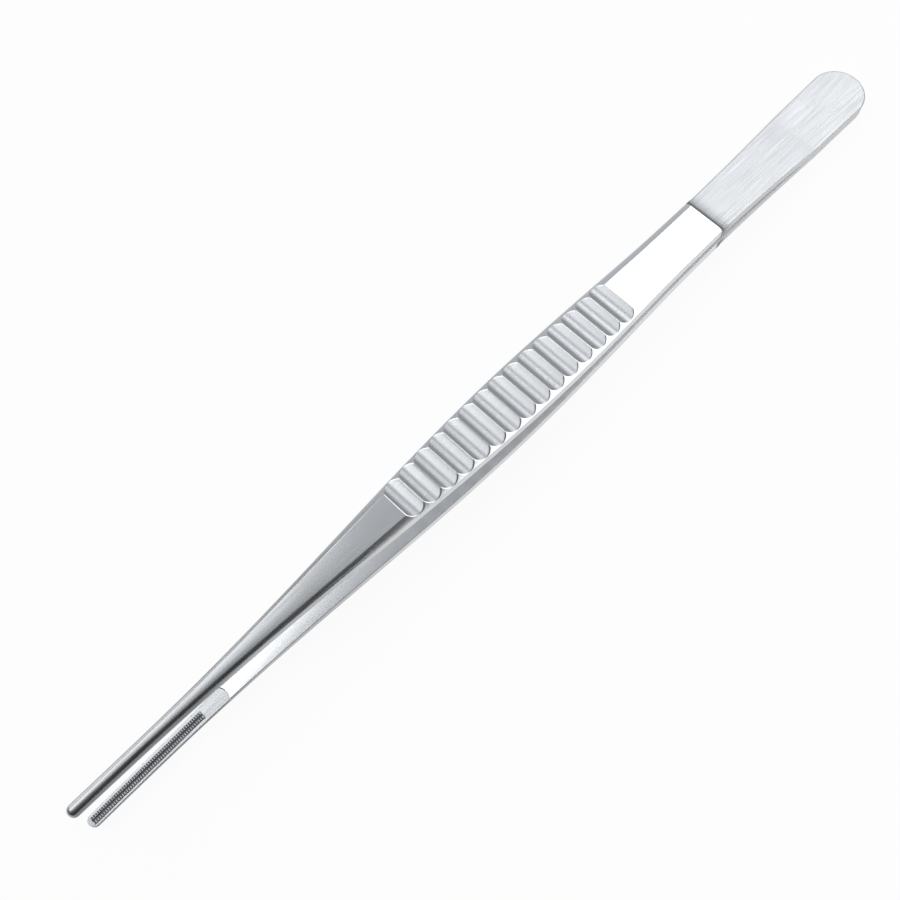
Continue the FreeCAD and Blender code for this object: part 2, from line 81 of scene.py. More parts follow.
camera = aim_camera()
print("camera stands", round((EYE - AIM).length, 3), "m from what it looks at")

# %% [markdown]
# A strip whose width and thickness change along it is drawn as a boat is: as cross-sections at a few stations. Each
# section is the same outline with other sizes: a flat inner face, upright side walls, a bevel on each side, and a
# crest that is crowned a little. The sections are given here by name, each with its station along the strip and then
# the sizes in the order of SIZE_NAMES. Between them nothing has to be drawn.

# %% Sections of the strip
LENGTH = 240.0
STEP_STATION = 57.4
COVE_WIDTH = 1.5
COVE_CLEARANCE = 0.02
GRIP_FRONT = 156.0
JAW_LENGTH = 35.7
SCALLOP_COUNT = 15
SCALLOP_PITCH = 4.59
SCALLOP_RADIUS = 3.86
SCALLOP_DEPTH = 0.75
PAD_ROUND = 0.5
NOSE_HALF_WIDTH = 1.31
TAIL_HALF_WIDTH = 6.65
WELD_STATION = 22.9

SHANK_STATION = STEP_STATION - COVE_WIDTH
GRIP_BACK = GRIP_FRONT - SCALLOP_COUNT * SCALLOP_PITCH
JAW_BACK = LENGTH - JAW_LENGTH
NOSE_STATION = LENGTH - NOSE_HALF_WIDTH

SIZE_NAMES = ("half_width", "face", "wall", "crest", "bevel", "bulge", "crown")
STRIP = {
    "shank": (SHANK_STATION, 5.31, 1.45, 2.2, 2.95, 1.35, 0.07, 0.03),
    "waist": ((STEP_STATION + GRIP_BACK) / 2, 5.44, 1.6, 2.3, 3.1, 1.42, 0.07, 0.03),
    "grip back": (GRIP_BACK, 5.88, 1.7, 2.5, 3.45, 1.6, 0.07, 0.03),
    "grip rise": (GRIP_BACK * 0.75 + GRIP_FRONT * 0.25, 6.31, 2.05, 2.6, 3.65, 1.87, 0.07, 0.03),
    "grip middle": ((GRIP_BACK + GRIP_FRONT) / 2, 6.3, 2.8, 2.65, 3.75, 2.0, 0.07, 0.03),
    "grip fall": (GRIP_BACK * 0.25 + GRIP_FRONT * 0.75, 5.71, 3.55, 2.6, 3.65, 1.9, 0.07, 0.03),
    "grip front": (GRIP_FRONT, 4.68, 4.25, 2.5, 3.4, 1.5, 0.07, 0.03),
    "fore": ((GRIP_FRONT + JAW_BACK) / 2, 2.98, 5.0, 2.15, 2.9, 1.0, 0.12, 0.05),
    "jaw back": (JAW_BACK, 1.8, 5.68, 1.5, 2.5, 0.9, 0.18, 0.06),
    "jaw middle": ((JAW_BACK + NOSE_STATION) / 2, 1.4, 6.22, 0.98, 2.3, 0.9, 0.3, 0.03),
    "nose": (NOSE_STATION, NOSE_HALF_WIDTH, 6.76, 0.78, 2.12, 0.95, 0.33, 0.03),
}
PAD_BULGE = PAD_ROUND * (1 - math.sqrt(0.5))
PAD = {
    "weld": (WELD_STATION, 6.5, 0.0, 2.05),
    "pad": ((WELD_STATION + SHANK_STATION) / 2, 5.7, 1.0, 2.15),
    "pad end": (SHANK_STATION, 5.31, 1.45, 2.2),
}
TAIL = (TAIL_HALF_WIDTH, TAIL_HALF_WIDTH, 0.0, 2.0)


def pad_section(station, half_width, face, crest):
    """A section of the tail pad, whose edges are broken by one small radius."""
    return (station, half_width, face, crest - PAD_ROUND, crest, PAD_ROUND, PAD_BULGE, 0.0)


def crest_of(name):
    """Height of the crest of one of the strip's sections over the weld plane."""
    sizes = dict(zip(SIZE_NAMES, STRIP[name][1:]))
    return sizes["face"] + sizes["crest"]


print(len(STRIP) + len(PAD) + 1, "sections over", LENGTH, "mm")

# %% [markdown]
# Between the sections the strip has to flow without kinks. A cubic spline does that: it passes through every value
# and bends as little as a thin batten would. The tail block is welded flat, so there two sections and a straight
# line are enough.

# %% Flow between the sections


def spline(stations, values):
    """A natural cubic spline through rows of values, as a function of the station."""
    gaps = np.diff(stations)
    slopes = np.diff(values, axis=0) / gaps[:, None]
    count = len(stations)
    matrix = np.eye(count)
    sides = np.zeros_like(values)
    for k in range(1, count - 1):
        matrix[k, k - 1:k + 2] = gaps[k - 1], 2 * (gaps[k - 1] + gaps[k]), gaps[k]
        sides[k] = 6 * (slopes[k] - slopes[k - 1])
    bends = np.linalg.solve(matrix, sides)

    def at(station):
        k = int(np.clip(np.searchsorted(stations, station) - 1, 0, count - 2))
        gap = gaps[k]
        left, right = stations[k + 1] - station, station - stations[k]
        curve = bends[k] * left ** 3 + bends[k + 1] * right ** 3
        return curve / (6 * gap) + (values[k] / gap - bends[k] * gap / 6) * left + (
            values[k + 1] / gap - bends[k + 1] * gap / 6) * right

    return at


def flow(sections):
    """A spline through whole sections."""
    table = np.array(sections)
    return spline(table[:, 0], table[:, 1:])


block_flow = flow([pad_section(*TAIL), pad_section(*PAD["weld"])])
pad_flow = flow([pad_section(*sizes) for sizes in PAD.values()])
strip_flow = flow(list(STRIP.values()))


def section_at(station):
    """The sizes of the section at a station, in the order of SIZE_NAMES."""
    inside = min(max(station, TAIL_HALF_WIDTH), NOSE_STATION)
    if inside <= WELD_STATION:
        return block_flow(inside)
    if inside <= SHANK_STATION:
        return pad_flow(inside)
    return strip_flow(inside)


print("middle of the grip", dict(zip(SIZE_NAMES, np.round(section_at((GRIP_BACK + GRIP_FRONT) / 2), 2))))

# %% [markdown]
# The grip is ground with a round wheel that comes down across the strip again and again: every hollow is the same
# cylinder, one pitch further on. A smaller touch of the wheel leaves the cove at the foot of the step. Seen from the
# side each hollow is an arc, so all that the mesh needs is the height of the wheel at each station. Where the wheel
# leaves the metal a sharp edge would look like paper, so the two heights blend over a few hundredths.

# %% Hollows of the grip and the cove
EDGE_BLEND = 0.06
NO_WHEEL = 1000.0


def crest_height(station):
    """Height of the middle of the crest over the weld plane."""
    sizes = section_at(station)
    return sizes[1] + sizes[3]


grip_slope = math.atan((crest_height(GRIP_FRONT) - crest_height(GRIP_BACK)) / (GRIP_FRONT - GRIP_BACK))
wheel_rise = SCALLOP_RADIUS - SCALLOP_DEPTH
first_wheel = np.array((
    GRIP_BACK + SCALLOP_PITCH / 2 * math.cos(grip_slope) - wheel_rise * math.sin(grip_slope),
    crest_height(GRIP_BACK) + SCALLOP_PITCH / 2 * math.sin(grip_slope) + wheel_rise * math.cos(grip_slope),
))
wheel_step = np.array((SCALLOP_PITCH, SCALLOP_PITCH * math.tan(grip_slope)))
cove_foot = crest_height(SHANK_STATION) + COVE_CLEARANCE
cove_rise = crest_of("shank") - cove_foot
cove_radius = (COVE_WIDTH ** 2 + cove_rise ** 2) / (2 * cove_rise)


def wheel_height(station):
    """Height of the lowest wheel over the weld plane, or NO_WHEEL where none comes down."""
    heights = [NO_WHEEL]
    for k in range(SCALLOP_COUNT):
        across = station - first_wheel[0] - k * wheel_step[0]
        if abs(across) < SCALLOP_RADIUS:
            middle = first_wheel[1] + k * wheel_step[1]
            heights.append(middle - math.sqrt(SCALLOP_RADIUS ** 2 - across ** 2))
    if SHANK_STATION <= station < SHANK_STATION + cove_radius:
        heights.append(cove_foot + cove_radius - math.sqrt(cove_radius ** 2 - (station - SHANK_STATION) ** 2))
    return min(heights)


def soft_min(a, b, blend):
    """The smaller of two heights, with the edge between them rounded over the blend."""
    near = np.clip(1 - np.abs(a - b) / blend, 0, 1)
    return np.minimum(a, b) - near * near * blend / 4


print("slope of the grip", round(math.degrees(grip_slope), 2), "degrees; cove radius", round(cove_radius, 2), "mm")

# %% [markdown]
# The jaws hold a vessel without bruising it. Each has a ground flat that starts in an arc, and fine teeth like a saw
# laid on its back: two rows on the lower jaw with a groove between them, and one row on the upper jaw that seats in
# that groove. The teeth are notches of one shape, half a millimetre apart.

# %% Flat and teeth of the jaws
LAND_DEPTH = 0.3
LAND_RADIUS = 2.6
LAND_EDGE = 0.05
TOOTH_SETBACK = 6.2
ROW_WIDTH = 0.55
GROOVE_WIDTH = 0.42
ROW_CLEARANCE = 0.04
ROW_NOSE_MARGIN = 0.9
TOOTH_PITCH = 0.52
TOOTH_DEPTH = 0.25
TOOTH_CREST = 0.08

jaw_face = (STRIP["jaw back"][2], STRIP["nose"][2])
jaw_slope = math.atan((jaw_face[1] - jaw_face[0]) / (NOSE_STATION - JAW_BACK))
jaw_run = JAW_LENGTH / math.cos(jaw_slope)
row_length = jaw_run - TOOTH_SETBACK - ROW_NOSE_MARGIN
tooth_count = int(row_length / TOOTH_PITCH)
notch_width = TOOTH_PITCH - TOOTH_CREST
ROW_EDGES = {
    "upper_arm": (GROOVE_WIDTH / 2 - ROW_CLEARANCE,),
    "lower_arm": (GROOVE_WIDTH / 2, GROOVE_WIDTH / 2 + ROW_WIDTH),
}


def along_jaw(station):
    """How far along the sloping inner face of the jaw a station lies."""
    return (station - JAW_BACK) / math.cos(jaw_slope)


def land_share(station, across):
    """Whether places on the inner face lie on the ground flat, from 0 to 1 over its edge. It starts in an arc."""
    start = LAND_RADIUS - np.sqrt(LAND_RADIUS ** 2 - np.minimum(np.abs(across), LAND_RADIUS) ** 2)
    return np.clip((along_jaw(station) - start) / LAND_EDGE, 0, 1)


def on_row(arm, across):
    """Whether a place across the jaw lies on a toothed row."""
    edges = ROW_EDGES[arm]
    inner = edges[0] if len(edges) > 1 else 0.0
    return (np.abs(across) >= inner - 1e-9) & (np.abs(across) <= edges[-1] + 1e-9)


def notch_share(along_row):
    """How deep the notch between two teeth is at a place along the row, from 0 on a tooth to 1 at its foot."""
    return max(0.0, 1 - abs(along_row % TOOTH_PITCH / (notch_width / 2) - 1))


def jaw_cut(arm, station, across, nominal):
    """How deep the flat or the teeth lie in the inner face. The nominal place across tells which row it is on."""
    flat = LAND_DEPTH * land_share(station, across)
    along_row = along_jaw(station) - TOOTH_SETBACK
    if not -1e-9 <= along_row <= row_length:
        return flat
    toothed = along_row <= tooth_count * TOOTH_PITCH
    depth = TOOTH_DEPTH * notch_share(along_row) if toothed else 0.0
    return np.where(on_row(arm, nominal), depth, flat)


print(tooth_count, "teeth a row, on", round(row_length, 1), "mm")

# %% [markdown]
# Now one section can be drawn. Half of its outline is enough, from the middle of the inner face round the side to
# the middle of the crest, because the strip is the same left and right. Ground steel never has a true corner: each
# one is drawn as a short curve, and those hair-thin curves catch the bright lines that make an edge look real.

# %% Outline of one section
EDGE_ROUND = 0.11
CORNER_STEPS = 5
BEVEL_STEPS = 14
CREST_STEPS = 15
SIDE_STEPS = 4
FACE_STEPS = 9
BESIDE_EDGE = 0.006


def corner(first, middle, last):
    """A soft corner between two points, drawn towards the middle one."""
    t = np.linspace(0, 1, CORNER_STEPS)[:, None]
    return (1 - t) ** 2 * first + 2 * t * (1 - t) * middle + t ** 2 * last


def face_places(arm, half_width):
    """Places across the inner face, close beside the edges of the toothed rows, and their nominal values."""
    nominal = [0.0]
    for edge in ROW_EDGES[arm]:
        nominal += [(nominal[-1] + edge) / 2, edge - BESIDE_EDGE, edge + BESIDE_EDGE]
    nominal = np.array(nominal)
    shrink = min(1.0, half_width / NOSE_HALF_WIDTH)
    last = half_width - EDGE_ROUND * shrink
    outer = np.linspace(nominal[-1] * shrink, last, FACE_STEPS)[1:]
    return np.concatenate((nominal * shrink, outer)), np.concatenate((nominal, outer))


def half_outline(arm, station):
    """Half an outline at a station, from the middle of the inner face to the middle of the crest."""
    half, face, wall, crest, bevel, bulge, crown = section_at(station)
    crest_half = half - bevel
    places, nominal = face_places(arm, half)
    soft = half - places[-1]
    levels = face + jaw_cut(arm, station, places, nominal)
    inner_face = np.column_stack((places, levels))
    side_foot, side_top = levels[-1] + soft, face + wall - soft
    side = np.column_stack((np.full(SIDE_STEPS, half), np.linspace(side_foot, side_top, SIDE_STEPS)))
    low, high = np.array((half, face + wall)), np.array((crest_half, face + crest - crown))
    chord = high - low
    length = np.hypot(*chord)
    outward = np.array((chord[1], -chord[0])) / length
    t = np.linspace(soft / length, 1 - soft / length, BEVEL_STEPS)[:, None]
    bevel_points = low + t * chord + 4 * t * (1 - t) * bulge * outward
    crest_places = np.linspace(crest_half - soft, 0, CREST_STEPS)
    crest_points = np.column_stack((crest_places, face + crest - crown * (crest_places / crest_half) ** 2))
    foot_corner = corner(inner_face[-1], np.array((half, levels[-1])), side[0])
    wall_corner = corner(side[-1], low, bevel_points[0])
    crest_corner = corner(bevel_points[-1], high, crest_points[0])
    bottom = np.concatenate((inner_face, foot_corner[1:-1]))
    top = np.concatenate((wall_corner[1:-1], bevel_points, crest_corner[1:-1], crest_points))
    return bottom, side, top


print(sum(len(part) for part in half_outline("lower_arm", GRIP_FRONT)), "points in half an outline")

# %% [markdown]
# Both ends of the strip are rounded. On the real strip a punch did that, and the end's section is the same all the
# way round. So the last section is turned about an upright axis, as a lathe would: a point's height depends only on
# how far it stands from the axis. The teeth run straight on over the nose, so there they are laid in again. Last,
# the wheel's height cuts off whatever stands above it, and the outline remembers where that happened.

# %% Rounded ends and the wheel's cut


def end_outline(arm, station, centre, radius):
    """Half an outline across a rounded end, which is the last section turned about an upright axis."""
    bottom, side, top = half_outline(arm, centre)
    away = abs(station - centre)
    half = math.sqrt(max(radius ** 2 - away ** 2, 0.0))
    shrink = half / radius

    def turned(points):
        places = points[:, 0] * shrink
        reach = np.minimum(np.hypot(places, away), radius)
        order = np.argsort(points[:, 0])
        return np.column_stack((places, np.interp(reach, points[order, 0], points[order, 1])))

    side = np.column_stack((np.full(SIDE_STEPS, half), side[:, 1]))
    turned_bottom, turned_top = turned(bottom), turned(top)
    if centre == NOSE_STATION:
        places, nominal = face_places(arm, radius)
        levels = section_at(centre)[1] + (station - centre) * math.tan(jaw_slope)
        turned_bottom[:len(places), 1] = levels + jaw_cut(arm, station, places * shrink, nominal)
    return turned_bottom, side, turned_top


def outline(arm, station):
    """Half an outline anywhere on the strip after the wheel has passed, and where the wheel touched it."""
    if station < TAIL_HALF_WIDTH:
        bottom, side, top = end_outline(arm, station, TAIL_HALF_WIDTH, TAIL_HALF_WIDTH)
    elif station > NOSE_STATION:
        bottom, side, top = end_outline(arm, station, NOSE_STATION, NOSE_HALF_WIDTH)
    else:
        bottom, side, top = half_outline(arm, station)
    wheel = wheel_height(station)
    touched = np.clip((top[:, 1] - wheel) / EDGE_BLEND, 0, 1)
    top[:, 1] = soft_min(top[:, 1], wheel, EDGE_BLEND)
    hollow = np.concatenate((np.zeros(len(bottom) + len(side)), touched))
    return np.concatenate((bottom, side, top)), hollow


middle_hollow = (GRIP_BACK + GRIP_FRONT) / 2
print("middle of the grip is ground on", int(outline("upper_arm", middle_hollow)[1].sum()), "points of half a rib")

# %% [markdown]
# Steel shows how it was worked more than it shows a colour. The shank and the hollows of the grip are buffed and
# glossy, the tail pad and the jaw's flat are ground dull, and the inner faces are satin at the grip and finer
# towards the jaw. So each point of a rib is marked with its roughness, from 0 for a mirror to 1 for chalk. The marks
# lie on the mesh itself, and look right from every side. Each list gives the value at some stations, and a straight
# line joins them.

# %% Roughness of each face
OUTER_FINISH = (
    (0.0, 0.5), (STEP_STATION - 0.4, 0.5), (STEP_STATION, 0.2),
    (GRIP_FRONT, 0.22), (GRIP_FRONT + 20.0, 0.25), (LENGTH, 0.28),
)
HOLLOW_FINISH = 0.31
FACE_FINISH = ((GRIP_FRONT, 0.55), (JAW_BACK, 0.25))
LAND_FINISH = 0.5


def between(place, pairs):
    """The value at a place, on straight lines through pairs of place and value."""
    return np.interp(place, *zip(*pairs))


def finish_marks(station, half, hollow, face_count):
    """Roughness at each point of half an outline, whose first points are those of the inner face."""
    finish = np.full(len(half), between(station, OUTER_FINISH))
    if station >= STEP_STATION:
        finish += (HOLLOW_FINISH - finish) * hollow
    polished = between(station, FACE_FINISH)
    land = land_share(station, half[:face_count, 0])
    finish[:face_count] = polished + (LAND_FINISH - polished) * land
    return finish


print("roughness of the shank", round(float(between(SHANK_STATION + COVE_WIDTH + 1, OUTER_FINISH)), 2))

# %% [markdown]
# The steel's tone changes too, and most of that change is painted light and shade. The inner faces are painted
# lighter than the outside, standing in for the light that reaches into the gap between the arms. Painted shade
# darkens the steel from the grip's front to the nose and on the walls of the jaw, for their darker reflections, over
# the end of the pad and the cove, darkest at the step, and on the side of each hollow where the wheel climbed out,
# where it dims the reflection of the soft box over the tail. Between the teeth hardly any light gets in: a picture
# this size can't resolve that shadow, so the rows are drawn darker than they are, as painted shadow. The jaw's flat
# off the rows is drawn a little darker, more so at the nose. The numbers run from 0 for bright steel to 1 for
# the darkest. The list for the jaw's face is measured from the back of the jaw, the others from the tail end of
# the strip.

# %% Tone of each face, with painted light and shade
# The outside keeps this share of the dark grey, so that the inner faces, painted lighter, stand out from it.
OUTER_SHADE = 0.237
FRONT_PAINTED_SHADE = ((GRIP_FRONT, 0.0), (GRIP_FRONT + 24.0, 0.44), (LENGTH, 0.39))
WALL_PAINTED_SHADE = ((JAW_BACK - 10.0, 0.0), (JAW_BACK + 5.0, 0.45))
WALL_START, WALL_BLEND = 0.8, 0.15
COVE_PAINTED_SHADE, COVE_PAINTED_SHADE_START, COVE_PAINTED_SHADE_WIDTH = 0.9, STEP_STATION - 4.5, 4.2
CLIMB_PAINTED_SHADE, CLIMB_START, CLIMB_WIDTH = 0.55, -0.35, 1.1
JAW_FACE_SHADE = ((TOOTH_SETBACK, 0.08), (TOOTH_SETBACK + 2.1, 0.25))
TOOTH_PAINTED_SHADE, NOTCH_PAINTED_SHADOW = 0.2, 0.8
ROW_PAINTED_SHADOW_REACH = 0.07


def climb(station):
    """How far the wheel has climbed out of its hollow at a station, from 0 at the foot to 1."""
    across = min((station - first_wheel[0] - k * wheel_step[0] for k in range(SCALLOP_COUNT)), key=abs)
    return float(np.clip((across - CLIMB_START) / CLIMB_WIDTH, 0, 1))


def outer_shade(station, half, hollow):
    """Tone at each point of half an outline as it is outside, with its painted shade."""
    # Painted shade from the grip's front to the nose, for the darker reflections of the fore part and the jaws.
    shade = np.full(len(half), between(station, FRONT_PAINTED_SHADE))
    # Painted shade over the end of the pad and the cove, growing darker towards the step.
    if station < STEP_STATION:
        shade += COVE_PAINTED_SHADE * np.clip((station - COVE_PAINTED_SHADE_START) / COVE_PAINTED_SHADE_WIDTH, 0, 1) ** 2
    else:
        # Painted shade on the side of each hollow where the wheel climbs out, which dims its reflection of the soft
        # box over the tail.
        shade += CLIMB_PAINTED_SHADE * climb(station) * hollow
    # Painted shade on the side walls near the jaw, which darkens the near wall's reflection.
    on_wall = np.clip((half[:, 0] / half[:, 0].max() - WALL_START) / WALL_BLEND, 0, 1)
    shade += between(station, WALL_PAINTED_SHADE) * on_wall
    return OUTER_SHADE + (1 - OUTER_SHADE) * np.minimum(shade, 1)


def face_shade(arm, station, across, nominal):
    """Tone at the points of the inner face, with the painted shadow of the toothed rows."""
    run = along_jaw(station)
    if not TOOTH_SETBACK <= run <= TOOTH_SETBACK + row_length:
        # Off the rows the jaw's flat is drawn a little darker, more so at the nose.
        return between(run, JAW_FACE_SHADE) * land_share(station, across)
    # Painted shadow: along the rows the groove, the rows and a thin line beyond the outer row are drawn dark, the
    # rims bright.
    shade = np.where(nominal < ROW_EDGES[arm][-1] + ROW_PAINTED_SHADOW_REACH, 1.0, 0.0)
    notch = notch_share(run - TOOTH_SETBACK)
    # On the rows the painted shadow is lighter on the teeth and deepest in the notches.
    shade[on_row(arm, nominal)] = TOOTH_PAINTED_SHADE + (NOTCH_PAINTED_SHADOW - TOOTH_PAINTED_SHADE) * notch
    return shade


def marks_at(arm, station, half, hollow):
    """All that the material wants to know about each point of half an outline."""
    nominal = face_places(arm, NOSE_HALF_WIDTH)[1]
    count = len(nominal)
    shade = outer_shade(station, half, hollow)
    shade[:count] = face_shade(arm, station, half[:count, 0], nominal)
    return {"hollow": hollow, "finish": finish_marks(station, half, hollow, count), "shade": shade}


print("tone of the nose", round(float(between(LENGTH, FRONT_PAINTED_SHADE)), 2))

# %% [markdown]
# The outlines are strung along the strip like ribs, close together where the shape changes fast and far apart where
# it doesn't. Each point is joined to its neighbours along and around, which gives clean four-sided faces. The mesh
# also carries a flat map of itself, in which one side runs along the strip: the brushing follows that side later.

# %% Stations of the ribs
GRIP_RIB = 0.15
JAW_RIB = 0.05
QUARTER = np.radians(np.linspace(0, 90, 37))
CLOSE = 0.3
EVEN_SPANS = (
    (TAIL_HALF_WIDTH, WELD_STATION, 10),
    (WELD_STATION, SHANK_STATION, 30),
    (SHANK_STATION + 0.01, STEP_STATION + CLOSE, 19),
    (STEP_STATION + CLOSE, GRIP_BACK - CLOSE, 24),
    (GRIP_FRONT + CLOSE, JAW_BACK - 0.1, 40),
    (JAW_BACK + 0.9, JAW_BACK + TOOTH_SETBACK - 0.1, 12),
)
NARROWEST_GAP = 0.004


def tooth_stations():
    """Where each notch of the toothed rows starts, is deepest and ends."""
    row_end = TOOTH_SETBACK + row_length
    runs = [TOOTH_SETBACK - 0.01, row_end - 0.001, row_end + 0.01]
    for tooth in range(tooth_count):
        start = TOOTH_SETBACK + tooth * TOOTH_PITCH
        runs += [start, start + notch_width / 2, start + notch_width]
    return JAW_BACK + np.array(runs) * math.cos(jaw_slope)


def rib_stations():
    """Where the outlines stand along the strip."""
    parts = [np.linspace(start, end, count) for start, end, count in EVEN_SPANS]
    parts += [
        TAIL_HALF_WIDTH * (1 - np.cos(QUARTER)),
        np.arange(GRIP_BACK - CLOSE, GRIP_FRONT + CLOSE, GRIP_RIB),
        np.arange(JAW_BACK - 0.1, JAW_BACK + 0.9, JAW_RIB),
        tooth_stations(),
        NOSE_STATION + NOSE_HALF_WIDTH * np.sin(QUARTER[::2]),
    ]
    found = np.unique(np.round(np.concatenate(parts), 5))
    keep = np.concatenate(([True], np.diff(found) > NARROWEST_GAP))
    return found[keep]


stations = rib_stations()
print(len(stations), "ribs")

# %% [markdown]
# So far the strip is drawn over its weld plane. On the table the forceps rest on two places of the lower arm's outer
# face: the crest just past the step, and the crest at the grip's front. The line between them tells how far the
# whole tool is tilted and lifted. The lower arm is the same strip, turned over.

# %% Rest position
rest_tilt = math.atan((crest_of("grip front") - crest_of("shank")) / (GRIP_FRONT - STEP_STATION))
rest_lift = crest_of("shank") * math.cos(rest_tilt) - STEP_STATION * math.sin(rest_tilt)
rest_shift = -LENGTH / 2 * math.cos(rest_tilt)


def lay_down(points, turned_over):
    """Places an arm as it lies at rest, in metres. The lower arm is turned over about its length first."""
    x, y, z = points[:, 0], points[:, 1], points[:, 2]
    if turned_over:
        y, z = -y, -z
    along = x * math.cos(rest_tilt) - z * math.sin(rest_tilt) + rest_shift
    up = x * math.sin(rest_tilt) + z * math.cos(rest_tilt) + rest_lift
    return np.column_stack((along, y, up)) * MM


print("rests at", round(math.degrees(rest_tilt), 2), "degrees to the table")

# %% [markdown]
# A modelling tool would offer a loft for this. Here the faces are joined by hand, because then every face has four
# sides and flows with the strip, and because the marks and the flat map can be laid on in the same pass. Half a rib
# is mirrored to a whole one. The flat map's second number is measured round the rib from the middle of the crest,
# so that the brushed lines of the outer face run straight even where teeth lengthen the way round the inner face.

# %% Ribs of one arm
MAP_SCALE = 100.0


def rib(arm, station):
    """A whole outline at a station, the way round it from the middle of the crest, and its marks."""
    half, hollow = outline(arm, station)
    mirrored = slice(-2, 0, -1)
    ring = np.concatenate((half, half[mirrored] * (-1, 1)))
    steps = np.hypot(*np.diff(np.concatenate((ring, ring[:1])), axis=0).T)
    around = np.concatenate(([0.0], np.cumsum(steps)))
    marks = {
        name: np.concatenate((values, values[mirrored]))
        for name, values in marks_at(arm, station, half, hollow).items()
    }
    points = np.column_stack((np.full(len(ring), station), ring))
    return points, around - around[len(half) - 1], marks


def skin(around):
    """Four-sided faces between neighbouring ribs, and where their corners lie on the flat map."""
    count = len(around[0]) - 1
    faces, flat = [], []
    for back in range(len(stations) - 1):
        front = back + 1
        for place in range(count):
            beside = (place + 1) % count
            faces.append((back * count + place, front * count + place, front * count + beside, back * count + beside))
            flat += [
                (stations[back], around[back][place]),
                (stations[front], around[front][place]),
                (stations[front], around[front][place + 1]),
                (stations[back], around[back][place + 1]),
            ]
    return faces, flat


print(len(rib("lower_arm", GRIP_FRONT)[0]), "points in a whole rib")

# %% Mesh of one arm
SHARP_ANGLE = math.radians(38)
SAME_PLACE = 1e-7


def arm_mesh(arm):
    """One arm as a mesh of four-sided faces, with its marks as point attributes and its flat map."""
    points, around, marks = zip(*(rib(arm, station) for station in stations))
    faces, flat = skin(around)
    mesh = bpy.data.meshes.new(arm + "_steel")
    mesh.from_pydata(lay_down(np.concatenate(points), arm == "lower_arm").tolist(), [], faces)
    for name in marks[0]:
        values = np.concatenate([mark[name] for mark in marks])
        mesh.attributes.new(name, "FLOAT", "POINT").data.foreach_set("value", values)
    flat_map = mesh.uv_layers.new(name="along")
    flat_map.data.foreach_set("uv", (np.array(flat) / MAP_SCALE).ravel())
    return mesh


def close_up(mesh):
    """Joins the points that meet at the rounded ends, turns the faces outwards and shades them smooth."""
    work = bmesh.new()
    work.from_mesh(mesh)
    bmesh.ops.remove_doubles(work, verts=work.verts, dist=SAME_PLACE)
    bmesh.ops.dissolve_degenerate(work, edges=work.edges, dist=SAME_PLACE / 10)
    bmesh.ops.recalc_face_normals(work, faces=work.faces)
    open_edges = sum(1 for edge in work.edges if len(edge.link_faces) != 2)
    work.to_mesh(mesh)
    work.free()
    mesh.shade_smooth()
    mesh.set_sharp_from_angle(angle=SHARP_ANGLE)
    print(mesh.name, len(mesh.polygons), "faces,", open_edges, "open edges")


# %% [markdown]
# Each arm becomes an object of its own, as the two strips were before they were welded. It stands in for the plain
# solid of the same arm and moves with the same body.

# %% The two arms
arms = {}
for arm in ("upper_arm", "lower_arm"):
    mesh = arm_mesh(arm)
    close_up(mesh)
    arms[arm] = bpy.data.objects.new(arm + "_steel", mesh)
    bpy.context.scene.collection.objects.link(arms[arm])
    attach(arms[arm], "root")
    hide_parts(arm)

# %% [markdown]
# Colours are written as they are named on a screen, as hex values. The renderer adds up light, so it needs them
# linear: one function turns a hex value into that, with the curve that screens use.

# %% Helpers for materials


def linear(hex_colour):
    """A screen colour such as "#c8cacc" as linear red, green, blue and alpha."""
    channels = []
    for start in (1, 3, 5):
        value = int(hex_colour[start:start + 2], 16) / 255
        channels.append(value / 12.92 if value <= 0.04045 else ((value + 0.055) / 1.055) ** 2.4)
    return (*channels, 1.0)


def add_node(tree, kind, settings=None, links=None):
    """Adds a node, sets its properties and its input values, and joins its inputs to other nodes' outputs."""
    node = tree.nodes.new(kind)
    for name, value in (settings or {}).items():
        if isinstance(name, str) and hasattr(node, name):
            setattr(node, name, value)
        else:
            node.inputs[name].default_value = value
    for name, source in (links or {}).items():
        tree.links.new(source, node.inputs[name])
    return node


print("mid grey", [round(v, 3) for v in linear("#808080")])

# %% [markdown]
# Surgical steel is a stainless steel that hardens. It is ground, then brushed to a satin face so that it doesn't
# dazzle under an operating lamp. The brush runs lengthwise and leaves hair-fine lines. They spread a reflection
# across themselves and leave it crisp along themselves, which is what anisotropy means, and the coarser of them show
# as faint streaks of light and dark. The lines follow the flat map's long side, so they run round with the shape.
# True lines lie about a hundredth of a millimetre apart. Here they are drawn a quarter of a millimetre apart, because
# finer ones would be lost in the picture. The hollows were buffed by the wheel, so there the lines fade out. The
# marks on the mesh do the rest: the roughness of each face, with the streaks in it, and its tone between two greys,
# which carries the painted light and shade. A metal's colour is that of its reflections, so both greys are light and
# neutral, and the metal keeps its own IOR.

# %% Satin stainless steel
LINE_SPACING = 0.25
LINE_LENGTH = 12.0
LINE_DEPTH = 0.02 * MM
BRUSHED_BUMP, HOLLOW_BUMP = 0.2, 0.03
BRUSHED_SPREAD, HOLLOW_SPREAD = 0.5, 0.0
ACROSS_THE_LINES = 0.25
STREAKS = {"From Min": 0.3, "From Max": 0.7, "To Min": 0.85, "To Max": 1.2}
# The first grey is the inner faces' steel, painted lighter; painted shade mixes towards the second.
PAINTED_LIGHT_STEEL = "#e4e6e8"
DARK_STEEL = "#5c5e60"


